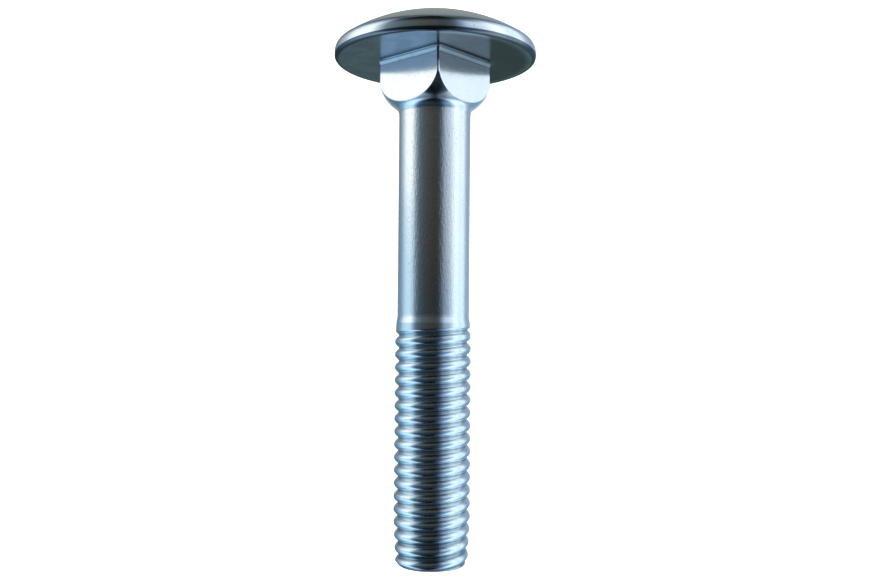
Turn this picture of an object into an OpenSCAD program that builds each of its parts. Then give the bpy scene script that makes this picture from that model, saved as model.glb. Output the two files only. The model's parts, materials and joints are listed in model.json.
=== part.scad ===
// Carriage bolt: low domed head, square neck under it, plain shank and threaded end.
// One cold-formed piece of steel. It lies as it comes to rest, on the rim of its head and
// on the end of its thread, with the head towards +Y. Millimetres, +Z up.
//
// The bolt is drawn upright first: axis on Z, bearing face of the head at z = 0, head above it
// and everything else below it, so a "depth" is always counted down from the bearing face.

/* [Head] */
// Diameter across the head
head_d = 16; // [13.4:0.1:19.2]
// Height of the head above its bearing face
head_h = 3.6; // [3:0.05:4.3]
// Height of the upright rim's upper edge above the bearing face
rim_h = 0.58; // [0.5:0.02:0.7]
// Radius where the dome turns into the rim
rim_top_r = 0.8; // [0.4:0.05:1]
// Radius where the rim turns into the bearing face
rim_under_r = 0.3; // [0.1:0.05:0.5]

/* [Square neck] */
// Width of the square neck across its flats
neck_w = 6.3; // [6:0.05:7.6]
// Radius of the neck's four upright edges
neck_edge_r = 0.25; // [0.15:0.05:0.5]
// Radius where the neck runs into the bearing face
neck_root_r = 0.4; // [0.2:0.05:0.6]
// Depth at which the neck's corners begin to round off
shoulder_depth = 1.33; // [1:0.01:1.6]
// Radius with which the neck's corners round off towards the shank
shoulder_r = 2.7; // [2.3:0.05:3.1]
// Radius of the hollow between that rounding and the shank
hollow_r = 0.8; // [0.5:0.05:1]

/* [Shank and thread] */
// Length from the bearing face to the end of the thread
length = 39.5; // [30:0.5:60]
// Diameter of the plain shank
shank_d = 5.65; // [5.3:0.05:5.8]
// Outer diameter of the thread
thread_d = 6; // [5.9:0.05:7.2]
// Length of the thread, its run-out and its chamfer included
thread_len = 19.2; // [14:0.1:24]
// Diameter of the flat end face
end_d = 4.8; // [4.2:0.1:5.2]
// Length of the chamfer at the end of the thread
end_chamfer = 0.7; // [0.4:0.05:1.2]

/* [Hidden] */
$fn = 96;
steel = [0.80, 0.83, 0.86];
// How far joined shapes run into each other
overlap = 0.1;
// How far an arc is moved past the place where it would only touch its neighbours, so that
// the surfaces cross cleanly
bite = 0.002;

// Head: a dome, a rolled upper rim, a short upright rim and a smaller rounding below.
// The dome is the sphere that has the head's height and touches the upper rim's rounding.
head_r = head_d / 2;
rim_top_x = head_r - rim_top_r;
rim_rise = head_h - rim_h;
dome_r = (pow(rim_top_x, 2) + pow(rim_rise, 2) - pow(rim_top_r, 2)) / (2 * (rim_rise - rim_top_r));
dome_z = head_h - dome_r;
dome_edge_x = rim_top_x * dome_r / (dome_r - rim_top_r);
rim_top_z = rim_h + bite;
rim_under_x = head_r - rim_under_r;

// Neck: the square is turned about the axis, so that one upright edge faces up at rest
neck_half = neck_w / 2;
neck_flat = neck_w - 2 * neck_edge_r;
neck_reach = neck_half * sqrt(2) - neck_edge_r * (sqrt(2) - 1);
neck_turn = 48;

// Shoulder: an arc about (shoulder_x, shoulder_depth), then a hollow that meets it and the shank
shoulder_x = neck_reach + 0.05 - shoulder_r;
shank_r = shank_d / 2;
hollow_x = shank_r + hollow_r;
hollow_depth = shoulder_depth + sqrt(pow(shoulder_r + hollow_r, 2) - pow(hollow_x - shoulder_x, 2));
meet = shoulder_r / (shoulder_r + hollow_r);
meet_x = shoulder_x + (hollow_x - shoulder_x) * meet;
meet_depth = shoulder_depth + (hollow_depth - shoulder_depth) * meet;

// Thread: a plain cylinder of its outer diameter, with a run-in cone and an end chamfer
thread_r = thread_d / 2;
thread_top = length - thread_len;
run_in = thread_r - shank_r;
full_top = thread_top + run_in;
full_end = length - end_chamfer;

// Rest: the floor touches the lower rim's rounding and the thread's last full edge
rest_run = full_end + rim_under_r;
rest_rise = rim_under_x - thread_r;
rest_tilt = atan2(rest_rise, rest_run) + asin(rim_under_r / norm([rest_run, rest_rise]));
rest_lift = full_end * sin(rest_tilt) + thread_r * cos(rest_tilt);
reach_head = dome_z * cos(rest_tilt) + dome_r;
reach_end = length * cos(rest_tilt) + end_d / 2 * sin(rest_tilt);
rest_shift = (reach_end - reach_head) / 2;

// Half section of the head
module head_section() {
  intersection() {
    translate([0, dome_z]) circle(dome_r);
    square([dome_edge_x, head_h + overlap]);
  }
  intersection() {
    translate([rim_top_x, rim_top_z]) circle(rim_top_r);
    translate([rim_top_x, rim_top_z]) square(rim_top_r);
  }
  square([rim_under_x, rim_top_z]);
  translate([0, rim_under_r]) square([head_r, rim_top_z - rim_under_r]);
  intersection() {
    translate([rim_under_x, rim_under_r]) circle(rim_under_r);
    translate([rim_under_x, 0]) square(rim_under_r);
  }
}

module head() {
  rotate_extrude() head_section();
}

// Half section of the turned shape that cuts the square's corners back to the shank
module shoulder_section() {
  translate([0, -shoulder_depth]) square([shoulder_x + shoulder_r, shoulder_depth + overlap]);
  intersection() {
    translate([shoulder_x, -shoulder_depth]) circle(shoulder_r);
    translate([0, -hollow_depth]) square([shoulder_x + shoulder_r, hollow_depth - shoulder_depth]);
  }
  difference() {
    translate([0, -hollow_depth]) square([meet_x, hollow_depth - meet_depth + overlap]);
    translate([hollow_x, -hollow_depth]) circle(hollow_r + bite);
  }
}

// Square outline with rounded corners
module neck_outline() {
  square([neck_w, neck_flat], center = true);
  square([neck_flat, neck_w], center = true);
  for (x = [-1, 1], y = [-1, 1])
    translate([x, y] * neck_flat / 2) circle(neck_edge_r);
}

module neck() {
  intersection() {
    translate([0, 0, -hollow_depth]) linear_extrude(hollow_depth + overlap) neck_outline();
    rotate_extrude() shoulder_section();
  }
}

// Section of the fillet between a neck wall at x = 0 and the bearing face at y = 0
module root_section() {
  difference() {
    translate([-overlap, -neck_root_r]) square(neck_root_r + overlap);
    translate([neck_root_r, -neck_root_r]) circle(neck_root_r + bite);
  }
}

// Fillet all round the neck: four straight runs and four turned corners
module neck_root() {
  for (side = [0:3])
    rotate(90 * side) {
      translate([neck_half, 0, 0]) rotate([90, 0, 0])
        linear_extrude(neck_flat, center = true) root_section();
      translate([neck_flat / 2, neck_flat / 2, 0]) rotate_extrude(angle = 90)
        translate([neck_edge_r, 0]) root_section();
    }
}

module shank() {
  translate([0, 0, -thread_top - overlap]) cylinder(h = thread_top + overlap, r = shank_r);
}

module thread_blank() {
  translate([0, 0, -full_top]) cylinder(h = run_in, r1 = thread_r, r2 = shank_r);
  translate([0, 0, -full_end]) cylinder(h = full_end - full_top, r = thread_r);
  translate([0, 0, -length]) cylinder(h = end_chamfer, r1 = end_d / 2, r2 = thread_r);
}

module bolt_upright() {
  head();
  rotate(neck_turn) {
    neck();
    neck_root();
  }
  shank();
  thread_blank();
}

module carriage_bolt() {
  color(steel)
    translate([0, rest_shift, rest_lift]) rotate([rest_tilt - 90, 0, 0]) bolt_upright();
}

carriage_bolt();
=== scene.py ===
import json
import logging
import math
from dataclasses import dataclass
from enum import Enum
from typing import Any

import bpy
import numpy as np
from bpy.types import Material, Mesh, Node, NodeSocket, NodeTree, Object
from mathutils import Matrix, Vector


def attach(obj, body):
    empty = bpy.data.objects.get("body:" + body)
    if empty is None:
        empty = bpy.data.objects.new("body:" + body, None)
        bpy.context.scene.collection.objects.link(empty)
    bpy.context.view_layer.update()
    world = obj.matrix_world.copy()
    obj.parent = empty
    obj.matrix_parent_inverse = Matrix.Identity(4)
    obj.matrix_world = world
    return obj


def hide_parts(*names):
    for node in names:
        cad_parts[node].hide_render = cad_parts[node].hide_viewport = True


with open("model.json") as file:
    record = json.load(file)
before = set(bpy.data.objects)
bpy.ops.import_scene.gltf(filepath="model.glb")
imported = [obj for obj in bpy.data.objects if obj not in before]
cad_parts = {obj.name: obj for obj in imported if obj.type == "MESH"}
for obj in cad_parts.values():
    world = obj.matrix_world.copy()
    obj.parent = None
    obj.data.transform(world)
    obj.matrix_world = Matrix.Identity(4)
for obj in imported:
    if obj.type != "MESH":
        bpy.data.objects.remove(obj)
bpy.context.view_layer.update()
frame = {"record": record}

# Carriage bolt: one forged, rolled and zinc-plated piece, lying as it comes to rest.
#
# Every part of the bolt is drawn upright first: its axis on Z, the bearing face of its head at
# z = 0, the head above it and everything else below. A "depth" counts down from that face. The
# skin is a stack of rings, one closed surface from the middle of the end face to the top of the
# dome, and a Geometry Nodes tree rolls the thread into it. The finished mesh is then laid in
# place. Sizes are in metres, and those of the finishes in millimetres and micrometres.

MM = 0.001
MICRON = 0.000001
QUARTER_TURN = math.pi / 2
FULL_TURN = 2 * math.pi

NODE = "carriage_bolt"
BODY = "root"

Ring = np.ndarray
Value = Any
Span = tuple[float, float]
Colour = tuple[float, float, float, float]
Stop = tuple[float, tuple[float, float, float]]

log = logging.getLogger("carriage_bolt")


# ---------------------------------------------------------------- where the bolt lies


@dataclass(frozen=True)
class Lay:
    """The place of the bearing face's centre, and the way that the axis points, to the head."""

    origin: Vector
    axis: Vector

    @classmethod
    def from_record(cls, record: dict[str, Any]) -> "Lay":
        """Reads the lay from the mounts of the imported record.

        Args:
            record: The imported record, with the mounts thread and head_seat.

        Returns:
            The lay of the bolt in the shared frame.
        """
        mounts = {mount["name"]: mount for mount in record["mounts"]}
        axis = -Vector(mounts["thread"]["axis"]).normalized()
        on_axis = Vector(mounts["thread"]["pos_m"])
        on_face = Vector(mounts["head_seat"]["pos_m"])
        return cls(on_axis + axis * (on_face - on_axis).dot(axis), axis)

    def matrix(self) -> Matrix:
        """Works out the move from the upright bolt to the lying one.

        Returns:
            A matrix whose columns are the bolt's X, Y and Z and its origin.
        """
        across = Vector((1, 0, 0))
        away = self.axis.cross(across)
        turn = Matrix((across, away, self.axis)).transposed()
        return Matrix.Translation(self.origin) @ turn.to_4x4()


# ---------------------------------------------------------------- short calls for nodes


class NodeBench:
    """A node tree with short calls that add a node and link what feeds it."""

    def __init__(self, tree: NodeTree) -> None:
        """Keeps the tree that the calls add to."""
        self.tree = tree

    def add(self, kind: str, inputs: dict[Any, Value] | None = None, **settings: Any) -> Node:
        """Adds one node.

        Args:
            kind: The node's type name.
            inputs: Values or sockets for its inputs, by name or number.
            settings: Properties of the node, such as its operation.

        Returns:
            The new node.
        """
        node = self.tree.nodes.new(kind)
        for name, setting in settings.items():
            setattr(node, name, setting)
        for key, value in (inputs or {}).items():
            self.feed(node.inputs[key], value)
        return node

    def feed(self, socket: NodeSocket, value: Value) -> None:
        """Links a socket to another, or sets its value.

        Args:
            socket: The input to feed.
            value: A socket to link from, or a plain value.
        """
        if isinstance(value, NodeSocket):
            self.tree.links.new(value, socket)
        else:
            socket.default_value = value

    def math(self, operation: str, *values: Value) -> NodeSocket:
        """Adds a Math node.

        Args:
            operation: Its operation.
            values: Sockets or numbers for its inputs.

        Returns:
            Its result.
        """
        node = self.add("ShaderNodeMath", dict(enumerate(values)), operation=operation)
        return node.outputs[0]

    def span(self, value: Value, low: float, high: float, to_low: Value = 0.0,
             to_high: Value = 1.0, soft: bool = True) -> NodeSocket:
        """Maps a value from one span to another and clamps it.

        Args:
            value: What is mapped.
            low: Where the first span begins.
            high: Where the first span ends.
            to_low: What low becomes.
            to_high: What high becomes.
            soft: Whether it eases in and out.

        Returns:
            The mapped value.
        """
        inputs = {"Value": value, "From Min": low, "From Max": high}
        inputs |= {"To Min": to_low, "To Max": to_high}
        kind = "SMOOTHSTEP" if soft else "LINEAR"
        return self.add("ShaderNodeMapRange", inputs, interpolation_type=kind).outputs[0]

    def blend(self, share: Value, first: Value, second: Value) -> NodeSocket:
        """Mixes two colours.

        Args:
            share: How much of the second colour shows, from 0 to 1.
            first: One colour.
            second: The other colour.

        Returns:
            The mixed colour.
        """
        node = self.add("ShaderNodeMix", data_type="RGBA")
        self.feed(node.inputs["Factor"], share)
        self.feed(node.inputs["A"], first)
        self.feed(node.inputs["B"], second)
        return node.outputs["Result"]

    def noise(self, vector: Value, scale: float, detail: float = 2.0,
              rough: float = 0.5, warp: float = 0.0) -> NodeSocket:
        """Adds a three-dimensional noise.

        Args:
            vector: Where it is read.
            scale: How many grains a unit holds.
            detail: How many finer layers it has.
            rough: How strong the finer layers are.
            warp: How far it is distorted.

        Returns:
            A value about 0.5.
        """
        inputs = {"Vector": vector, "Scale": scale, "Detail": detail}
        inputs |= {"Roughness": rough, "Distortion": warp}
        return self.add("ShaderNodeTexNoise", inputs).outputs[0]

    def stretch(self, vector: Value, scale: tuple[float, float, float]) -> NodeSocket:
        """Scales a vector.

        Args:
            vector: The vector.
            scale: The scale along each axis.

        Returns:
            The scaled vector.
        """
        node = self.add("ShaderNodeMapping", {"Vector": vector, "Scale": scale})
        return node.outputs[0]


# ---------------------------------------------------------------- finishes


class Grain(Enum):
    """Which way the fine marks of a surface run."""

    DRAWN = "along the axis, from the die that the wire was drawn through"
    STRUCK = "in faint rings round the axis, from the dies that formed the head"
    ROLLED = "along the thread, from the rolling dies"


@dataclass(frozen=True)
class ZincPlate:
    """Bright zinc on steel. Lengths are in millimetres, depths in micrometres.

    Each edge is the span over which a mark fades in or out.
    """

    name: str
    grain: Grain
    colour: Colour
    tint: Colour
    # The darkest colour: a real stain in the pits, and painted shade in the thread's roots and
    # under the head.
    stain_and_shade: Colour
    edge_tint: Colour = (1.0, 1.0, 1.0, 1.0)
    roughness: float = 0.2
    roughness_spread: float = 0.12
    tint_size: float = 4.0
    grain_width: float = 0.3
    grain_depth: float = 2.0
    grain_length: float = 4.0
    grain_drift: float = 0.06
    pit_size: float = 0.35
    pit_depth: float = 6.0
    pit_dirt: float = 1.0
    pit_edge: Span = (0.57, 0.72)
    cloud_edge: Span = (0.38, 0.62)
    stain_and_shade_share: float = 0.5
    # Painted shade in the thread's roots, and under the head as a patch to one side and a band at
    # the rim.
    root_shade_edge: Span = (2.67, 2.78)
    under_head_shade: float = 0.0
    under_head_shade_side: Span = (-1.4, 1.8)
    under_head_shade_reach: Span = (7.0, 7.6)
    rim_shade_edge: Span = (7.6, 7.75)

    def make(self, lay: Lay) -> Material:
        """Makes the material.

        Args:
            lay: Where the bolt lies, for a pattern that follows its axis.

        Returns:
            The material.
        """
        material = bpy.data.materials.new(self.name)
        material.use_nodes = True
        bench = NodeBench(material.node_tree)
        surface = material.node_tree.nodes["Principled BSDF"]
        surface.inputs["Metallic"].default_value = 1.0
        surface.inputs["Specular Tint"].default_value = self.edge_tint
        place = self.place(bench, lay)
        grain = self.grain_marks(bench, place)
        spots = bench.noise(place, 1 / self.pit_size, detail=3.0, rough=0.6)
        pits = bench.span(spots, *self.pit_edge)
        clouds = bench.noise(place, 1 / self.tint_size, detail=3.0, rough=0.55, warp=0.4)
        share = bench.span(clouds, *self.cloud_edge)
        colour = bench.blend(share, self.colour, self.tint)
        # Darkens the colour towards its darkest: a real stain in the pits, and painted shade in
        # the thread's roots and under the head.
        dirt_and_shade = bench.math("MULTIPLY", self.dirt_and_painted_shade(bench, place, pits), self.stain_and_shade_share)
        colour = bench.blend(dirt_and_shade, colour, self.stain_and_shade)
        bench.feed(surface.inputs["Base Color"], colour)
        rough = bench.math("MULTIPLY_ADD", clouds, self.roughness_spread, self.roughness)
        rough = bench.math("SUBTRACT", rough, self.roughness_spread / 2)
        rough = bench.math("MULTIPLY_ADD", pits, self.roughness_spread, rough)
        rough = bench.math("MULTIPLY_ADD", grain, self.roughness_spread / 2, rough)
        bench.feed(surface.inputs["Roughness"], rough)
        fine = bench.add("ShaderNodeBump", {"Height": grain, "Strength": 1.0,
                                            "Distance": self.grain_depth * MICRON})
        sunk = bench.math("SUBTRACT", 1.0, pits)
        deep = bench.add("ShaderNodeBump", {"Height": sunk, "Strength": 1.0,
                                            "Distance": self.pit_depth * MICRON,
                                            "Normal": fine.outputs[0]})
        bench.feed(surface.inputs["Normal"], deep.outputs[0])
        return material

    def place(self, bench: NodeBench, lay: Lay) -> NodeSocket:
        """Turns object coordinates into millimetres on the upright bolt.

        Args:
            bench: The material's nodes.
            lay: Where the bolt lies.

        Returns:
            The place on the upright bolt.
        """
        back = lay.matrix().inverted()
        inputs = {"Location": back.to_translation() / MM, "Rotation": back.to_euler()}
        inputs |= {"Scale": (1 / MM,) * 3}
        inputs |= {"Vector": bench.add("ShaderNodeTexCoord").outputs["Object"]}
        return bench.add("ShaderNodeMapping", inputs).outputs[0]

    def reach(self, bench: NodeBench, place: NodeSocket) -> tuple[NodeSocket, NodeSocket]:
        """Finds how far a place is from the axis.

        Args:
            bench: The material's nodes.
            place: The place on the upright bolt.

        Returns:
            Its distance from the axis, and its height.
        """
        flat = bench.stretch(place, (1.0, 1.0, 0.0))
        away = bench.add("ShaderNodeVectorMath", {0: flat}, operation="LENGTH").outputs["Value"]
        return away, bench.add("ShaderNodeSeparateXYZ", {0: place}).outputs["Z"]

    def grain_marks(self, bench: NodeBench, place: NodeSocket) -> NodeSocket:
        """Draws the fine marks that the forming tools left.

        Args:
            bench: The material's nodes.
            place: The place on the upright bolt.

        Returns:
            A value about 0.5 that rises on a ridge.
        """
        if self.grain is Grain.DRAWN:
            streaked = bench.stretch(place, (1.0, 1.0, 1 / self.grain_length))
            return bench.noise(streaked, 1 / self.grain_width, detail=4.0, rough=0.65)
        away, height = self.reach(bench, place)
        ringed = bench.add("ShaderNodeCombineXYZ", {"X": away, "Y": height}).outputs[0]
        drift = bench.stretch(place, (self.grain_drift,) * 3)
        ringed = bench.add("ShaderNodeVectorMath", {0: ringed, 1: drift}, operation="ADD")
        return bench.noise(ringed.outputs[0], 1 / self.grain_width, detail=4.0, rough=0.6)

    def dirt_and_painted_shade(self, bench: NodeBench, place: NodeSocket, pits: NodeSocket) -> NodeSocket:
        """Finds where the plate is darkened: the real stain in its pits, and painted shade in the
        thread's roots and under the head.

        Args:
            bench: The material's nodes.
            place: The place on the upright bolt.
            pits: Where the pits are.

        Returns:
            How dark it is painted, from 0 to 1.
        """
        darkened = bench.math("MULTIPLY", pits, self.pit_dirt)
        away, _ = self.reach(bench, place)
        # Painted shade in the thread's roots, with some dirt: darker the nearer the axis.
        if self.grain is Grain.ROLLED:
            darkened = bench.math("MAXIMUM", darkened, bench.span(away, *self.root_shade_edge, 1.0, 0.0))
        # Painted shade under the head: a dark patch to one side of the bearing face, and a dark
        # band at the rim's edge that dims the under radius's reflection.
        if self.under_head_shade > 0.0:
            aside = bench.add("ShaderNodeSeparateXYZ", {0: place}).outputs["X"]
            inside = bench.span(away, *self.under_head_shade_reach, self.under_head_shade, 0.0)
            patch = bench.math("MULTIPLY", bench.span(aside, *self.under_head_shade_side), inside)
            rim = bench.span(away, *self.rim_shade_edge, 0.0, self.under_head_shade)
            darkened = bench.math("MAXIMUM", darkened, bench.math("MAXIMUM", patch, rim))
        return darkened


ZINC = (0.93, 0.94, 0.95, 1.0)
FORGED = ZincPlate("forged_zinc", Grain.STRUCK, colour=ZINC, tint=(0.86, 0.90, 0.95, 1.0),
                   stain_and_shade=(0.45, 0.47, 0.46, 1.0), roughness=0.13, roughness_spread=0.08,
                   grain_width=0.55, grain_depth=1.5, pit_size=0.14, pit_depth=0.9,
                   stain_and_shade_share=0.3)
# A darker copy of the zinc for the bearing face, its under radius and the neck's fillet: painted
# shade under the head, darker still in a patch to one side and along the rim, with a dimmer sheen.
SHADED_SEAT = ZincPlate("seat_zinc_painted_shade", Grain.STRUCK, colour=(0.42, 0.48, 0.56, 1.0),
                 tint=(0.36, 0.41, 0.48, 1.0), stain_and_shade=(0.10, 0.10, 0.095, 1.0),
                 edge_tint=(0.44, 0.43, 0.42, 1.0), roughness=0.15, roughness_spread=0.08,
                 tint_size=2.0, grain_width=0.32, grain_depth=8.0, pit_size=0.16,
                 pit_depth=1.0, pit_dirt=0.15, stain_and_shade_share=1.0, under_head_shade=0.62)
DRAWN = ZincPlate("drawn_zinc", Grain.DRAWN, colour=ZINC, tint=(0.88, 0.91, 0.92, 1.0),
                  stain_and_shade=(0.50, 0.53, 0.54, 1.0), roughness=0.08, roughness_spread=0.06,
                  grain_width=0.13, grain_depth=14.0, pit_size=0.18, pit_depth=1.8,
                  stain_and_shade_share=0.45)
# Its darkest colour fills the thread's roots: painted shade, with some dirt, as well as the pits'
# own stain.
ROLLED = ZincPlate("rolled_zinc", Grain.ROLLED, colour=(0.80, 0.89, 0.95, 1.0),
                   tint=(0.84, 0.91, 0.95, 1.0), stain_and_shade=(0.20, 0.27, 0.34, 1.0),
                   roughness=0.15, roughness_spread=0.06, grain_width=0.4, grain_depth=2.0,
                   pit_size=0.2, pit_depth=1.5, pit_dirt=0.3, stain_and_shade_share=0.65)


# ---------------------------------------------------------------- the bolt's parts


COLUMNS = 160
QUARTERS = 4
LEAST_TURN = 1e-6


def even_turns(start: float) -> np.ndarray:
    """Spaces the columns of the skin evenly round the axis.

    Args:
        start: The azimuth of the first column.

    Returns:
        The azimuth of each column.
    """
    return start + np.arange(COLUMNS) * (FULL_TURN / COLUMNS)


def ring(radius: Value, height: Value, turns: np.ndarray) -> Ring:
    """Draws one ring of the skin.

    Args:
        radius: Its radius, or one for each column.
        height: Its height, or one for each column.
        turns: The azimuth of each column.

    Returns:
        A point for each column.
    """
    points = np.empty((len(turns), 3))
    points[:, 0] = radius * np.cos(turns)
    points[:, 1] = radius * np.sin(turns)
    points[:, 2] = height
    return points


def ease(share: float) -> float:
    """Eases a share from 0 to 1 in and out."""
    return share * share * (3 - 2 * share)


@dataclass(frozen=True)
class Head:
    """The low domed head, with a rounding above and a smaller one below its upright rim."""

    diameter: float = 16.0 * MM
    height: float = 3.6 * MM
    rim_height: float = 0.58 * MM
    upper_radius: float = 0.8 * MM
    under_radius: float = 0.3 * MM
    dome_rows: int = 26
    upper_rows: int = 9
    under_rows: int = 6
    face_shares: tuple[float, ...] = (0.015, 0.07, 0.2, 0.4, 0.6, 0.8, 0.93, 0.985)

    def face(self, inner: Ring, turns: np.ndarray) -> list[Ring]:
        """Draws the flat bearing face, from the neck's fillet out to the rim.

        Args:
            inner: The ring at the foot of the fillet.
            turns: The azimuth of each column at the rim.

        Returns:
            The rings between the two.
        """
        outer = ring(self.diameter / 2 - self.under_radius, 0.0, turns)
        return [inner + (outer - inner) * share for share in self.face_shares]

    def rings(self, turns: np.ndarray) -> list[Ring]:
        """Draws the rim and the dome.

        Args:
            turns: The azimuth of each column.

        Returns:
            The rings from the bearing face's edge up to the last one below the top.
        """
        under_x = self.diameter / 2 - self.under_radius
        upper_x = self.diameter / 2 - self.upper_radius
        rise = self.height - self.rim_height
        dome_radius = upper_x**2 + rise**2 - self.upper_radius**2
        dome_radius /= 2 * (rise - self.upper_radius)
        dome_z = self.height - dome_radius
        edge = math.atan2(upper_x, self.rim_height - dome_z)
        made = []
        for angle in np.linspace(-QUARTER_TURN, 0, self.under_rows + 1):
            radius = under_x + self.under_radius * math.cos(angle)
            made.append(ring(radius, self.under_radius * (1 + math.sin(angle)), turns))
        for angle in np.linspace(0, QUARTER_TURN - edge, self.upper_rows + 1):
            radius = upper_x + self.upper_radius * math.cos(angle)
            made.append(ring(radius, self.rim_height + self.upper_radius * math.sin(angle), turns))
        for share in np.linspace(1, 0, self.dome_rows + 1)[1:-1]:
            angle = edge * share
            height = dome_z + dome_radius * math.cos(angle)
            made.append(ring(dome_radius * math.sin(angle), height, turns))
        return made


@dataclass(frozen=True)
class Shank:
    """The plain shank under the neck."""

    diameter: float = 5.65 * MM
    first_row: float = 0.3 * MM
    rows: int = 18

    def rings(self, low: float, high: float, turns: np.ndarray) -> list[Ring]:
        """Draws the shank.

        Args:
            low: The height at which the thread ends.
            high: The height at which the neck begins.
            turns: The azimuth of each column.

        Returns:
            Its rings from the first row above the thread, without the neck's first.
        """
        heights = np.linspace(low + self.first_row, high, self.rows, endpoint=False)
        return [ring(self.diameter / 2, height, turns) for height in heights]


@dataclass(frozen=True)
class SquareNeck:
    """The square under the head, with its fillet above and its rounded-off corners below."""

    shank: Shank
    width: float = 6.3 * MM
    edge_radius: float = 0.17 * MM
    root_radius: float = 0.4 * MM
    turn: float = math.radians(48)
    shoulder_depth: float = 1.33 * MM
    shoulder_radius: float = 2.7 * MM
    shoulder_clear: float = 0.05 * MM
    hollow_radius: float = 0.8 * MM
    corner_steps: int = 8
    root_rows: int = 7
    wall_shares: tuple[float, ...] = (1.0, 0.975, 0.92, 0.8, 0.6, 0.4, 0.2, 0.06, 0.015)
    hollow_rows: int = 26
    hollow_crowding: float = 1.3
    crowding: float = 0.5

    @property
    def flat(self) -> float:
        """Half the width of a wall between its two rounded edges."""
        return self.width / 2 - self.edge_radius

    @property
    def reach(self) -> float:
        """The distance of an upright edge from the axis."""
        return self.flat * math.sqrt(2) + self.edge_radius

    @property
    def shoulder_x(self) -> float:
        """The distance of the shoulder's centre from the axis."""
        return self.reach + self.shoulder_clear - self.shoulder_radius

    @property
    def hollow_x(self) -> float:
        """The distance of the hollow's centre from the axis."""
        return self.shank.diameter / 2 + self.hollow_radius

    @property
    def hollow_depth(self) -> float:
        """The depth at which the hollow has run into the shank.

        Returns:
            That depth.
        """
        span = self.shoulder_radius + self.hollow_radius
        return self.shoulder_depth + math.sqrt(span**2 - (self.hollow_x - self.shoulder_x) ** 2)

    @property
    def meet(self) -> tuple[float, float]:
        """The place where the shoulder turns into the hollow.

        Returns:
            Its distance from the axis, and its depth.
        """
        share = self.shoulder_radius / (self.shoulder_radius + self.hollow_radius)
        x = self.shoulder_x + (self.hollow_x - self.shoulder_x) * share
        return x, self.shoulder_depth + (self.hollow_depth - self.shoulder_depth) * share

    def outline(self) -> tuple[np.ndarray, np.ndarray]:
        """Draws the square with its rounded edges, a point for each column.

        Returns:
            The points, and the way that the wall faces at each.
        """
        wall_steps = (COLUMNS // QUARTERS - self.corner_steps) // 2
        shares = np.linspace(0, 1, wall_steps + 1)[:-1]
        walls = self.flat * ((1 - self.crowding) * shares
                             + self.crowding * np.sin(shares * QUARTER_TURN))
        angles = np.linspace(0, QUARTER_TURN, self.corner_steps + 1)
        points = [(self.width / 2, y) for y in walls]
        points += [(self.flat + self.edge_radius * math.cos(a),
                    self.flat + self.edge_radius * math.sin(a)) for a in angles]
        points += [(x, self.width / 2) for x in walls[:0:-1]]
        normals = [(1, 0)] * len(walls) + [(math.cos(a), math.sin(a)) for a in angles]
        normals += [(0, 1)] * (len(walls) - 1)
        turned = []
        for pairs in (np.array(points), np.array(normals)):
            quarter = pairs[:, 0] + 1j * pairs[:, 1]
            turns = np.exp(1j * (self.turn + np.arange(QUARTERS) * QUARTER_TURN))
            turned.append(np.concatenate([quarter * turn for turn in turns]))
        return turned[0], turned[1]

    def run_out(self, depth: np.ndarray) -> np.ndarray:
        """Works out the turned shape that the corners run out in.

        Args:
            depth: The depths at which it is wanted.

        Returns:
            Its radius at each depth.
        """
        down = np.clip(depth - self.shoulder_depth, 0, self.shoulder_radius)
        shoulder = self.shoulder_x + np.sqrt(self.shoulder_radius**2 - down**2)
        left = np.clip(self.hollow_depth - depth, 0, self.hollow_radius)
        hollow = self.hollow_x - np.sqrt(self.hollow_radius**2 - left**2)
        return np.where(depth < self.meet[1], shoulder, hollow)

    def crease(self, radius: np.ndarray) -> np.ndarray:
        """Finds how deep a wall ends in the turned shape.

        Args:
            radius: The wall's distance from the axis at each column.

        Returns:
            The depth of the wall's lower end at each column.
        """
        up = np.clip(radius - self.shoulder_x, 0, self.shoulder_radius)
        shoulder = self.shoulder_depth + np.sqrt(self.shoulder_radius**2 - up**2)
        inside = np.clip(self.hollow_x - radius, 0, self.hollow_radius)
        hollow = self.hollow_depth - np.sqrt(self.hollow_radius**2 - inside**2)
        return np.where(radius > self.meet[0], shoulder, hollow)

    def rings(self, turns: np.ndarray) -> list[Ring]:
        """Draws the neck from the shank up to the bearing face.

        Args:
            turns: The azimuth of each column on the shank.

        Returns:
            Its rings. The last lies in the bearing face.
        """
        points, normals = self.outline()
        walls, wall_turns = np.abs(points), np.unwrap(np.angle(points))
        wall_turns += FULL_TURN * np.round((turns[0] - wall_turns[0]) / FULL_TURN)
        ends = self.crease(walls)
        made = []
        for share in np.linspace(1, 0, self.hollow_rows + 1)[:-1]:
            depth = ends + (self.hollow_depth - ends) * share**self.hollow_crowding
            slip = wall_turns + (turns - wall_turns) * ease(share)
            made.append(ring(self.run_out(depth), -depth, slip))
        for share in self.wall_shares:
            made.append(ring(walls, -self.root_radius - (ends - self.root_radius) * share,
                             wall_turns))
        for angle in np.linspace(0, QUARTER_TURN, self.root_rows + 1):
            out = points + normals * self.root_radius * (1 - math.cos(angle))
            height = -self.root_radius * (1 - math.sin(angle))
            made.append(ring(np.abs(out), height, np.angle(out)))
        return made


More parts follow.
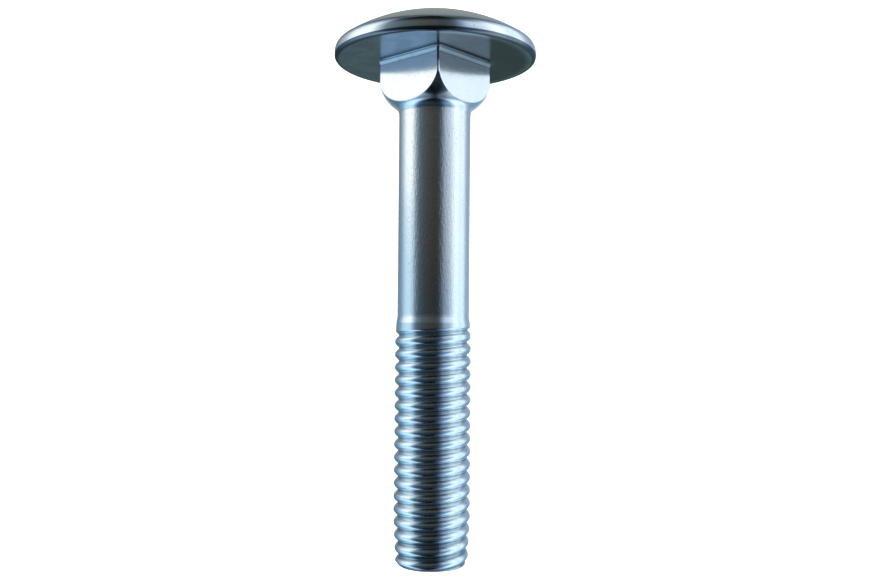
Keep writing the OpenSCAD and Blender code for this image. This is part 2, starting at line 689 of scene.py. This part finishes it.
@dataclass(frozen=True)
class Thread:
    """The rolled right-hand thread, its run-in under the shank and its bevelled end."""

    shank: Shank
    pitch: float = 1.0 * MM
    crest_radius: float = 3.0 * MM
    root_radius: float = 2.68 * MM
    end: float = -39.47 * MM
    length: float = 19.17 * MM
    bevel: float = 0.5 * MM
    end_radius: float = 2.6 * MM
    dish: float = 0.12 * MM
    collar: float = 0.42 * MM
    collar_share: float = 0.46
    swell: float = 2.2 * MM
    cut_start: float = 0.3 * MM
    cut_full: float = 1.15 * MM
    crest_height: float = -29.74 * MM
    roundness: float = 1.9
    softness: float = 0.05 * MM
    taper: float = 0.14 * MM
    taper_length: float = 4.0 * MM
    unevenness: float = 0.03 * MM
    lump_size: float = 1.4 * MM
    lump_level: float = 0.7
    seed: float = 7.0
    rows_per_pitch: int = 20
    seam: float = 0.6 * MM
    end_shares: tuple[float, ...] = (0.3, 0.6, 0.8, 0.92, 0.98)

    @property
    def top(self) -> float:
        """The height at which the thread's collar meets the shank."""
        return self.end + self.length

    def blank_radius(self, height: np.ndarray) -> np.ndarray:
        """Works out the blank that the thread is rolled into.

        Args:
            height: The heights at which it is wanted.

        Returns:
            Its radius at each height.
        """
        shank = self.shank.diameter / 2
        collar = shank + (self.crest_radius - shank) * self.collar_share
        below = self.top - height
        radius = np.interp(below, (0, self.collar, self.swell), (shank, collar, self.crest_radius))
        bevel = np.interp(height - self.end, (0, self.bevel), (self.end_radius, self.crest_radius))
        return np.minimum(radius, bevel)

    def rings(self, turns: np.ndarray) -> list[Ring]:
        """Draws the blank on rings that climb with the thread, column by column.

        Args:
            turns: The azimuth of each column.

        Returns:
            The rings from the end face up to the shank.
        """
        step = self.pitch / self.rows_per_pitch
        climb = self.rows_per_pitch * turns / FULL_TURN
        rows = math.ceil(self.length / step)
        first = self.crest_height + step * math.floor((self.end - self.crest_height) / step)
        made = [ring(self.end_radius * share, self.end + self.dish * (1 - share**2), turns)
                for share in self.end_shares]
        heights = first + step * (np.arange(rows + 1)[:, np.newaxis] + climb - np.floor(climb))
        # Within a seam of either end the rows are drawn together, so that none is cut off
        low, high = self.end + self.seam, self.top - self.seam
        above = high + (heights - high) * (self.top - high) / (heights[-1] - high)
        below = low - (low - heights) * (low - self.end) / (low - heights[0])
        heights = np.where(heights > high, above, np.where(heights < low, below, heights))
        made += [ring(self.blank_radius(height), height, turns) for height in heights]
        return made

    def climbs(self, turns: np.ndarray) -> np.ndarray:
        """Finds the columns after which a turn of the thread steps up a row.

        Args:
            turns: The azimuth of each column.

        Returns:
            True for each such column.
        """
        # The least turn keeps a step that falls on a column from being lost to rounding
        steps = np.floor(self.rows_per_pitch * turns / FULL_TURN + LEAST_TURN)
        after = np.append(steps[1:], steps[0] + self.rows_per_pitch)
        return after > steps


# ---------------------------------------------------------------- the thread's node tree


class ThreadRoller:
    """A Geometry Nodes tree that rolls a thread into a blank."""

    # Each input of the tree, and the size of the thread that it takes
    INPUTS = {
        "Pitch": "pitch",
        "Crest Radius": "crest_radius",
        "Root Radius": "root_radius",
        "Crest Height": "crest_height",
        "Roundness": "roundness",
        "Softness": "softness",
        "Top": "top",
        "Cut Start": "cut_start",
        "Cut Full": "cut_full",
        "End": "end",
        "Taper": "taper",
        "Taper Length": "taper_length",
        "Unevenness": "unevenness",
        "Lump Size": "lump_size",
        "Lump Level": "lump_level",
        "Seed": "seed",
    }

    def __init__(self, material: Material) -> None:
        """Builds the tree.

        Args:
            material: The finish of what is rolled.
        """
        self.tree = bpy.data.node_groups.new("roll_thread", "GeometryNodeTree")
        self.sockets: dict[str, str] = {}
        face = self.tree.interface
        face.new_socket("Geometry", in_out="INPUT", socket_type="NodeSocketGeometry")
        face.new_socket("Geometry", in_out="OUTPUT", socket_type="NodeSocketGeometry")
        for name in self.INPUTS:
            made = face.new_socket(name, in_out="INPUT", socket_type="NodeSocketFloat")
            self.sockets[name] = made.identifier
        bench = NodeBench(self.tree)
        given = bench.add("NodeGroupInput").outputs
        where = bench.add("GeometryNodeInputPosition").outputs[0]
        radius, height, turn, flat = self.polar(bench, where)
        rolled = self.rolled_radius(bench, given, where, height, turn)
        radius = bench.math("MINIMUM", radius, rolled)
        out = bench.add("ShaderNodeVectorMath", {0: flat, "Scale": radius}, operation="SCALE")
        lift = bench.add("ShaderNodeCombineXYZ", {"Z": height}).outputs[0]
        moved = bench.add("ShaderNodeVectorMath", {0: out.outputs[0], 1: lift}, operation="ADD")
        below = bench.math("LESS_THAN", height, given["Top"])
        shaped = bench.add("GeometryNodeSetPosition", {"Geometry": given["Geometry"],
                                                       "Selection": below,
                                                       "Position": moved.outputs[0]})
        smooth = bench.add("GeometryNodeSetShadeSmooth", {"Geometry": shaped.outputs[0]})
        real = bench.add("GeometryNodeRealizeInstances", {"Geometry": smooth.outputs[0]})
        dressed = bench.add("GeometryNodeSetMaterial", {"Geometry": real.outputs[0],
                                                        "Selection": below,
                                                        "Material": material})
        bench.add("NodeGroupOutput", {0: dressed.outputs[0]})

    def polar(self, bench: NodeBench, where: NodeSocket) -> tuple[NodeSocket, ...]:
        """Splits a place into its polar parts.

        Args:
            bench: The tree's nodes.
            where: The place.

        Returns:
            Its radius, height and azimuth, and its direction from the axis.
        """
        parts = bench.add("ShaderNodeSeparateXYZ", {0: where}).outputs
        level = bench.add("ShaderNodeCombineXYZ", {"X": parts["X"], "Y": parts["Y"]}).outputs[0]
        length = bench.add("ShaderNodeVectorMath", {0: level}, operation="LENGTH")
        flat = bench.add("ShaderNodeVectorMath", {0: level}, operation="NORMALIZE")
        turn = bench.math("ARCTAN2", parts["Y"], parts["X"])
        return length.outputs["Value"], parts["Z"], turn, flat.outputs[0]

    def rolled_radius(self, bench: NodeBench, given: Any, where: NodeSocket,
                      height: NodeSocket, turn: NodeSocket) -> NodeSocket:
        """Works out the radius that the rolling dies leave.

        Args:
            bench: The tree's nodes.
            given: The tree's inputs.
            where: The place on the blank.
            height: Its height.
            turn: Its azimuth.

        Returns:
            The radius after rolling.
        """
        pitch = given["Pitch"]
        above = bench.math("SUBTRACT", height, given["Crest Height"])
        turns = bench.math("DIVIDE", turn, FULL_TURN)
        phase = bench.math("SUBTRACT", bench.math("DIVIDE", above, pitch), turns)
        off = bench.math("ABSOLUTE", bench.math("WRAP", phase, 0.5, -0.5))
        share = bench.math("POWER", bench.math("MULTIPLY", off, 2.0), given["Roundness"])
        deepest = bench.math("SUBTRACT", given["Crest Radius"], given["Root Radius"])
        fall = bench.math("MULTIPLY", share, bench.math("ADD", deepest, given["Softness"]))
        fall = bench.math("SMOOTH_MIN", fall, deepest, given["Softness"])
        start = bench.math("SUBTRACT", given["Top"], given["Cut Start"])
        full = bench.math("SUBTRACT", given["Top"], given["Cut Full"])
        grip = bench.span(height, start, full)
        fall = bench.math("MULTIPLY", fall, grip)
        taper_end = bench.math("ADD", given["End"], given["Taper Length"])
        taper = bench.span(height, taper_end, given["End"], 0.0, given["Taper"])
        lumps = bench.add("ShaderNodeTexNoise", noise_dimensions="4D")
        bench.feed(lumps.inputs["Vector"], where)
        bench.feed(lumps.inputs["W"], given["Seed"])
        bench.feed(lumps.inputs["Scale"], bench.math("DIVIDE", 1.0, given["Lump Size"]))
        wander = bench.math("SUBTRACT", lumps.outputs[0], given["Lump Level"])
        wander = bench.math("MULTIPLY", wander, given["Unevenness"])
        wander = bench.math("MULTIPLY", wander, grip)
        radius = bench.math("SUBTRACT", given["Crest Radius"], bench.math("ADD", fall, taper))
        return bench.math("ADD", radius, wander)

    def roll(self, blank: Object, thread: Thread) -> Mesh:
        """Rolls the thread into a blank.

        Args:
            blank: The object whose mesh is the blank.
            thread: The thread's sizes.

        Returns:
            The rolled mesh.
        """
        modifier = blank.modifiers.new("roll thread", "NODES")
        modifier.node_group = self.tree
        for name, size in self.INPUTS.items():
            modifier[self.sockets[name]] = getattr(thread, size)
        seen = bpy.context.evaluated_depsgraph_get()
        mesh = bpy.data.meshes.new_from_object(blank.evaluated_get(seen), depsgraph=seen)
        blank.modifiers.remove(modifier)
        return mesh


# ---------------------------------------------------------------- the whole bolt


class Bolt:
    """The carriage bolt: one closed skin, from the end face to the top of the dome."""

    def __init__(self, lay: Lay) -> None:
        """Sets out the bolt's parts.

        Args:
            lay: Where the bolt lies.
        """
        self.lay = lay
        self.head = Head()
        self.shank = Shank()
        self.neck = SquareNeck(self.shank)
        self.thread = Thread(self.shank)

    def build(self) -> Object:
        """Builds the bolt: its blank, the thread rolled into it, and its place.

        Returns:
            The finished piece.
        """
        blank = bpy.data.objects.new("blank", self.blank())
        bpy.context.scene.collection.objects.link(blank)
        rolled = ThreadRoller(ROLLED.make(self.lay)).roll(blank, self.thread)
        bpy.data.objects.remove(blank)
        rolled.transform(self.lay.matrix())
        rolled.name = "bolt"
        piece = bpy.data.objects.new("bolt", rolled)
        bpy.context.scene.collection.objects.link(piece)
        log.info("bolt: %d faces", len(rolled.polygons))
        return piece

    def blank(self) -> Mesh:
        """Draws the upright blank and dresses its rows.

        Returns:
            The blank's mesh.
        """
        turns = even_turns(self.neck.turn)
        thread = self.thread.rings(turns)
        shank = self.shank.rings(self.thread.top, -self.neck.hollow_depth, turns)
        neck = self.neck.rings(turns)
        face = self.head.face(neck[-1], turns)
        head = self.head.rings(turns)
        stack = np.array(thread + shank + neck + face + head)
        bottom = (0.0, 0.0, self.thread.end + self.thread.dish)
        top = (0.0, 0.0, self.head.height)
        points = np.vstack((stack.reshape(-1, 3), (bottom, top)))
        faces = self.skin(len(stack), len(thread), self.thread.climbs(turns))
        mesh = bpy.data.meshes.new("carriage_bolt_blank")
        mesh.from_pydata(points.tolist(), [], faces)
        above_shank = len(thread) + len(shank)
        fillet = above_shank + len(neck) - self.neck.root_rows - 1
        above_seat = above_shank + len(neck) + len(face) + self.head.under_rows
        self.dress(mesh, range(len(thread), above_shank), range(fillet, above_seat))
        log.info("blank: %d rings of %d", len(stack), COLUMNS)
        return mesh

    def dress(self, mesh: Mesh, shank_rows: range, seat_rows: range) -> None:
        """Gives each row of the blank its finish. The rows from the neck's fillet round to the rim
        take a darker copy of the zinc: painted shade under the head.

        Args:
            mesh: The blank's mesh.
            shank_rows: The rows of the shank.
            seat_rows: The rows of the bearing face, from the neck's fillet to the rim.
        """
        every_row = range(len(mesh.vertices) // COLUMNS)
        # The seat rows take the darker copy of the zinc: painted shade under the head.
        zones = ((FORGED, every_row), (DRAWN, shank_rows), (SHADED_SEAT, seat_rows))
        for slot, (finish, rows) in enumerate(zones):
            mesh.materials.append(finish.make(self.lay))
            for polygon in mesh.polygons:
                if min(polygon.vertices) // COLUMNS in rows:
                    polygon.material_index = slot

    def skin(self, rings: int, thread_rings: int, climbs: np.ndarray) -> list[tuple[int, ...]]:
        """Joins the rings, and closes both ends.

        Args:
            rings: How many rings there are.
            thread_rings: How many of them are the thread's.
            climbs: The columns after which the thread steps up a row.

        Returns:
            The faces, each facing outwards.
        """
        faces: list[tuple[int, ...]] = []
        first_row = len(self.thread.end_shares)
        for row in range(rings - 1):
            in_thread = first_row <= row < thread_rings - 1
            for column in range(COLUMNS):
                after = (column + 1) % COLUMNS
                low, low_next = row * COLUMNS + column, row * COLUMNS + after
                high, high_next = low + COLUMNS, low_next + COLUMNS
                if in_thread and climbs[column]:
                    faces.append((low, low_next, high_next))
                    faces.append((low, high_next, high))
                else:
                    faces.append((low, low_next, high_next, high))
        bottom, top = rings * COLUMNS, rings * COLUMNS + 1
        last = (rings - 1) * COLUMNS
        for column in range(COLUMNS):
            after = (column + 1) % COLUMNS
            faces.append((bottom, after, column))
            faces.append((top, last + column, last + after))
        return faces


# ---------------------------------------------------------------- floor, light and camera


@dataclass(frozen=True)
class Studio:
    """A plain pale floor in a soft light tent, with a camera square to the bolt's axis."""

    lay: Lay
    floor_size: float = 3.0
    floor_colour: Colour = (0.88, 0.88, 0.88, 1.0)
    daylight: float = 2.2
    lamp_size: float = 0.6
    lamp_height: float = 0.5
    lamp_power: float = 1.5
    distance: float = 70.0 * MM
    drop: float = 20.87 * MM
    aside: float = 0.126 * MM
    tilt: float = 0.039
    roll: float = 0.008
    lens: float = 36.7
    sensor: float = 36.0
    clip: Span = (1.0 * MM, 10.0)
    side_edge: Span = (-0.35, 0.35)
    near_edge: Span = (42.0, 76.0)
    far_edge: Span = (118.0, 150.0)
    across: tuple[Stop, ...] = (
        (-180, (0.90, 0.78, 0.58)),
        (-168, (0.78, 0.70, 0.56)),
        (-150, (0.40, 0.41, 0.42)),
        (-132, (0.38, 0.42, 0.46)),
        (-120, (0.38, 0.44, 0.50)),
        (-106, (0.80, 0.86, 0.90)),
        (-88, (1.00, 1.00, 1.00)),
        (-75, (0.94, 0.96, 0.97)),
        (-66, (0.42, 0.50, 0.56)),
        (-56, (0.12, 0.16, 0.20)),
        (-36, (0.06, 0.08, 0.09)),
        (-15, (0.055, 0.053, 0.047)),
        (11, (0.036, 0.039, 0.037)),
        (21, (0.05, 0.068, 0.085)),
        (28, (0.15, 0.19, 0.25)),
        (36, (0.36, 0.44, 0.54)),
        (52, (0.50, 0.58, 0.68)),
        (70, (0.95, 0.98, 1.00)),
        (80, (1.00, 1.00, 1.00)),
        (90, (0.76, 0.82, 0.87)),
        (108, (0.90, 0.94, 0.98)),
        (121, (0.42, 0.46, 0.52)),
        (134, (0.40, 0.43, 0.50)),
        (148, (0.78, 0.82, 0.86)),
        (160, (0.80, 0.84, 0.88)),
        (172, (0.88, 0.78, 0.60)),
        (180, (0.90, 0.78, 0.58)),
    )
    left: tuple[Stop, ...] = (
        (-90, (0.03, 0.04, 0.06)),
        (-76, (0.20, 0.28, 0.34)),
        (-64, (0.62, 0.86, 1.02)),
        (-52, (0.72, 1.06, 1.28)),
        (-27, (0.72, 1.06, 1.28)),
        (-20, (0.56, 0.86, 1.14)),
        (-12, (0.56, 0.86, 1.14)),
        (-6, (0.66, 0.98, 1.20)),
        (-1, (0.54, 0.77, 0.95)),
        (5, (0.62, 0.82, 0.99)),
        (11, (1.18, 1.22, 1.21)),
        (32, (1.08, 1.16, 1.17)),
        (44, (0.78, 0.92, 1.00)),
        (56, (0.32, 0.40, 0.45)),
        (68, (0.10, 0.11, 0.11)),
        (90, (0.15, 0.17, 0.175)),
    )
    near: tuple[Stop, ...] = (
        (-90, (0.03, 0.03, 0.05)),
        (-60, (0.10, 0.13, 0.18)),
        (-42, (0.36, 0.52, 0.72)),
        (-30, (0.44, 0.66, 0.90)),
        (-8, (0.26, 0.46, 0.74)),
        (-1, (0.48, 0.62, 0.76)),
        (4, (0.84, 0.80, 0.76)),
        (12, (1.14, 1.14, 1.14)),
        (22, (1.40, 1.50, 1.60)),
        (32, (1.20, 1.30, 1.34)),
        (56, (0.15, 0.17, 0.18)),
        (68, (0.10, 0.11, 0.105)),
        (90, (0.15, 0.17, 0.175)),
    )
    far: tuple[Stop, ...] = (
        (-90, (0.10, 0.13, 0.22)),
        (-70, (0.15, 0.25, 0.35)),
        (-50, (0.25, 0.42, 0.55)),
        (-12, (0.25, 0.42, 0.55)),
        (0, (0.45, 0.62, 0.78)),
        (12, (0.40, 0.50, 0.64)),
        (40, (0.31, 0.39, 0.50)),
        (60, (0.23, 0.30, 0.40)),
        (90, (0.14, 0.19, 0.27)),
    )
    right: tuple[Stop, ...] = (
        (-90, (0.03, 0.04, 0.06)),
        (-76, (0.20, 0.26, 0.32)),
        (-64, (0.70, 0.90, 1.02)),
        (-52, (1.02, 1.22, 1.34)),
        (-27, (1.02, 1.22, 1.34)),
        (-18, (0.84, 1.04, 1.14)),
        (-8, (0.88, 1.10, 1.20)),
        (3, (0.94, 1.14, 1.24)),
        (12, (1.05, 1.16, 1.22)),
        (32, (1.05, 1.16, 1.22)),
        (44, (0.85, 1.00, 1.08)),
        (56, (0.32, 0.40, 0.45)),
        (68, (0.10, 0.11, 0.11)),
        (90, (0.15, 0.17, 0.175)),
    )

    def floor(self) -> Object:
        """Lays the floor.

        Returns:
            The floor.
        """
        half = self.floor_size / 2
        corners = [(-half, -half, 0), (half, -half, 0), (half, half, 0), (-half, half, 0)]
        mesh = bpy.data.meshes.new("floor")
        mesh.from_pydata(corners, [], [(0, 1, 2, 3)])
        material = bpy.data.materials.new("floor")
        material.use_nodes = True
        surface = material.node_tree.nodes["Principled BSDF"]
        surface.inputs["Base Color"].default_value = self.floor_colour
        surface.inputs["Roughness"].default_value = 1.0
        surface.inputs["Specular IOR Level"].default_value = 0.0
        mesh.materials.append(material)
        made = bpy.data.objects.new("floor", mesh)
        made.visible_glossy = False
        bpy.context.scene.collection.objects.link(made)
        return made

    def lamp(self) -> Object:
        """Hangs a large soft lamp over the floor.

        Returns:
            The lamp.
        """
        data = bpy.data.lights.new("soft lamp", "AREA")
        data.size = self.lamp_size
        data.energy = self.lamp_power
        made = bpy.data.objects.new("soft lamp", data)
        made.location = (0.0, 0.0, self.lamp_height)
        made.visible_glossy = False
        bpy.context.scene.collection.objects.link(made)
        return made

    def light(self) -> None:
        """Hangs the light tent that the metal mirrors, and an even daylight for the floor."""
        world = bpy.data.worlds.new("light tent")
        world.use_nodes = True
        world.cycles.sampling_method = "NONE"
        bpy.context.scene.world = world
        world.node_tree.nodes.clear()
        bench = NodeBench(world.node_tree)
        path = bench.add("ShaderNodeLightPath").outputs
        tent = bench.add("ShaderNodeBackground", {"Color": self.tent(bench), "Strength": 1.0})
        day = bench.add("ShaderNodeBackground", {"Color": (1, 1, 1, 1),
                                                 "Strength": self.daylight})
        both = bench.add("ShaderNodeMixShader", {0: path["Is Glossy Ray"], 1: day.outputs[0],
                                                 2: tent.outputs[0]})
        bench.add("ShaderNodeOutputWorld", {0: both.outputs[0]})

    def tent(self, bench: NodeBench) -> NodeSocket:
        """Paints the tent: bright at both sides, dark where the camera stands.

        Args:
            bench: The world's nodes.

        Returns:
            The light from each direction.
        """
        upright = self.lay.matrix().to_3x3().inverted().to_euler()
        rays = bench.add("ShaderNodeTexCoord").outputs["Generated"]
        rays = bench.add("ShaderNodeMapping", {"Vector": rays, "Rotation": upright},
                         vector_type="VECTOR").outputs[0]
        parts = bench.add("ShaderNodeSeparateXYZ", {0: rays}).outputs
        towards = bench.math("MULTIPLY", parts["Y"], -1.0)
        turn = bench.math("ARCTAN2", parts["X"], towards)
        rise = bench.math("ARCSINE", parts["Z"])
        across = self.scale_of_light(bench, turn, self.across)
        left, right, near, far = (self.scale_of_light(bench, rise, stops)
                                  for stops in (self.left, self.right, self.near, self.far))
        aside = bench.math("ABSOLUTE", turn)
        near_share = bench.span(aside, *map(math.radians, self.near_edge), 1.0, 0.0)
        far_share = bench.span(aside, *map(math.radians, self.far_edge))
        by_height = bench.blend(bench.span(parts["X"], *self.side_edge), left, right)
        by_height = bench.blend(near_share, by_height, near)
        by_height = bench.blend(far_share, by_height, far)
        return bench.add("ShaderNodeVectorMath", {0: across, 1: by_height},
                         operation="MULTIPLY").outputs[0]

    def scale_of_light(self, bench: NodeBench, angle: NodeSocket,
                       stops: tuple[Stop, ...]) -> NodeSocket:
        """Reads a colour off a scale of angles.

        Args:
            bench: The world's nodes.
            angle: The angle, in radians.
            stops: The scale: an angle in degrees, and the light from there.

        Returns:
            The colour at the angle.
        """
        low, high = stops[0][0], stops[-1][0]
        share = bench.span(angle, math.radians(low), math.radians(high), soft=False)
        ramp = bench.add("ShaderNodeValToRGB", {"Fac": share})
        elements = ramp.color_ramp.elements
        for degrees, _ in stops[1:-1]:
            elements.new((degrees - low) / (high - low))
        for element, (_, colour) in zip(elements, stops):
            element.color = (*colour, 1.0)
        return ramp.outputs[0]

    def camera(self) -> Object:
        """Sets up the camera.

        Returns:
            The camera.
        """
        data = bpy.data.cameras.new("camera")
        data.sensor_width = self.sensor
        data.lens = self.lens
        data.clip_start, data.clip_end = self.clip
        made = bpy.data.objects.new("camera", data)
        forward = Vector((0, math.cos(self.tilt), math.sin(self.tilt)))
        right = Vector((1, 0, 0))
        up = right.cross(forward)
        turned_right = right * math.cos(self.roll) + up * math.sin(self.roll)
        turned_up = up * math.cos(self.roll) - right * math.sin(self.roll)
        axes = Matrix((turned_right, turned_up, -forward)).transposed()
        place = Vector((self.aside, -self.distance, -self.drop))
        upright = Matrix.Translation(place) @ axes.to_4x4()
        made.matrix_world = self.lay.matrix() @ upright
        bpy.context.scene.collection.objects.link(made)
        bpy.context.scene.camera = made
        return made


def main() -> None:
    """Builds the bolt, and the studio round it."""
    logging.basicConfig(level=logging.INFO, format="%(name)s: %(message)s")
    lay = Lay.from_record(frame["record"])
    studio = Studio(lay)
    log.info("camera: %s", studio.camera().name)
    log.info("floor: %s", studio.floor().name)
    log.info("lamp: %s", studio.lamp().name)
    studio.light()
    log.info("light: a tent round the bolt's axis")
    bpy.context.scene.view_settings.view_transform = "Standard"
    bolt = Bolt(lay).build()
    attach(bolt, BODY)
    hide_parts(NODE)


if __name__ == "__main__":
    main()
